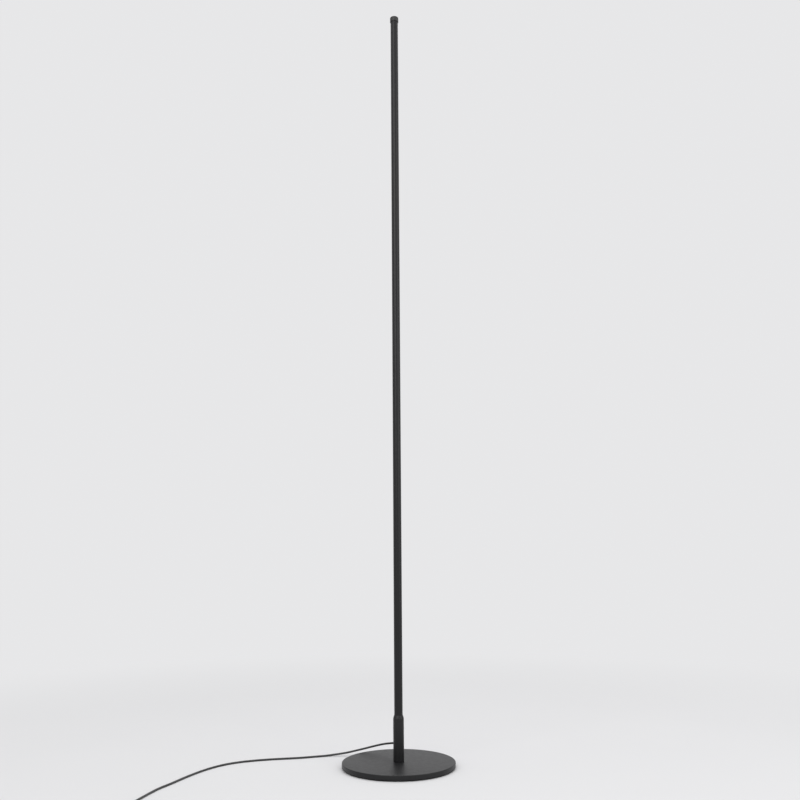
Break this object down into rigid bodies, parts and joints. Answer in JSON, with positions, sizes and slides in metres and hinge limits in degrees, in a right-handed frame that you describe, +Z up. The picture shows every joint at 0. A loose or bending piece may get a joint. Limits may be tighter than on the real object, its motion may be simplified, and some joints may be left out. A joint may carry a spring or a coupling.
{
  "type": "corner floor lamp",
  "caption": "Slim corner floor lamp: a long round black bar with a rear-facing colour LED strip, clamped in a sleeve on a round weighted base, with a USB cord and in-line controller.",
  "frame": {"origin": "centre of the base on the floor", "axes": "+Z up along the light bar, +Y towards the corner that the light faces, -Y the plain front"},
  "size_m": [0.508, 0.4898, 1.45],
  "materials": {
    "powder_black": "fine-textured satin black powder coat",
    "bar_black": "satin black coat on extruded aluminium",
    "cap_black": "moulded black plastic, fine matt grain",
    "foam": "closed-cell foam",
    "zinc": "zinc-plated steel",
    "steel_black": "black-oxided steel",
    "aluminium": "turned aluminium",
    "cord_black": "soft black cable jacket, slight sheen",
    "nylon": "natural nylon",
    "core_red": "core insulation",
    "opal": "opal diffusing plastic, lit from behind",
    "strip_white": "white solder mask",
    "led": "LED package with a clear lens",
    "ceramic": "ceramic chip parts",
    "case_black": "fine spark-eroded grain",
    "button_grey": "soft-touch grey button",
    "board_green": "green solder mask",
    "chip_black": "black component moulding",
    "shell_steel": "nickel-plated sheet steel",
    "contact_gold": "gold-plated contacts",
    "insulator_white": "white moulded insulator"
  },
  "bodies": {
    "lamp": {"base_pad": "foam", "base_plate": "powder_black", "base_washer": "zinc", "base_screw": "zinc", "sleeve": "powder_black", "sleeve_hub": "aluminium", "grub_screws": "steel_black", "cord_relief": "cord_black", "cord_tail": "cord_black", "cord_clamp": "nylon", "core_wires": "core_red", "light_bar": "bar_black", "bar_end_plug": "cap_black", "diffuser": "opal", "led_strip": "strip_white", "leds": "led", "strip_capacitors": "ceramic", "top_cap": "cap_black", "cord_run": "cord_black", "case_bottom": "case_black", "case_top": "case_black", "case_screws": "zinc", "controller_board": "board_green", "controller_parts": "chip_black", "tact_switches": "chip_black", "relief_in": "cord_black", "relief_out": "cord_black", "controller_wires": "core_red", "cord_lead": "cord_black", "cord_coil": "cord_black", "coil_tie": "cap_black", "cord_end": "cord_black", "plug_grip": "case_black", "plug_shell": "shell_steel", "plug_insulator": "insulator_white", "plug_contacts": "contact_gold"},
    "button_power": {"button_power": "button_grey", "stem_power": "nylon"},
    "button_mode": {"button_mode": "button_grey", "stem_mode": "nylon"},
    "button_speed": {"button_speed": "button_grey", "stem_speed": "nylon"}
  },
  "joints": [
    {"name": "button_power_press", "type": "slide", "parent": "lamp", "child": "button_power", "axis": [0, 0, -1], "range_m": [0, 0.0004], "stiffness_N_per_m": 400, "springref_m": -0.0002},
    {"name": "button_mode_press", "type": "slide", "parent": "lamp", "child": "button_mode", "axis": [0, 0, -1], "range_m": [0, 0.0004], "stiffness_N_per_m": 400, "springref_m": -0.0002},
    {"name": "button_speed_press", "type": "slide", "parent": "lamp", "child": "button_speed", "axis": [0, 0, -1], "range_m": [0, 0.0004], "stiffness_N_per_m": 400, "springref_m": -0.0002}
  ]
}
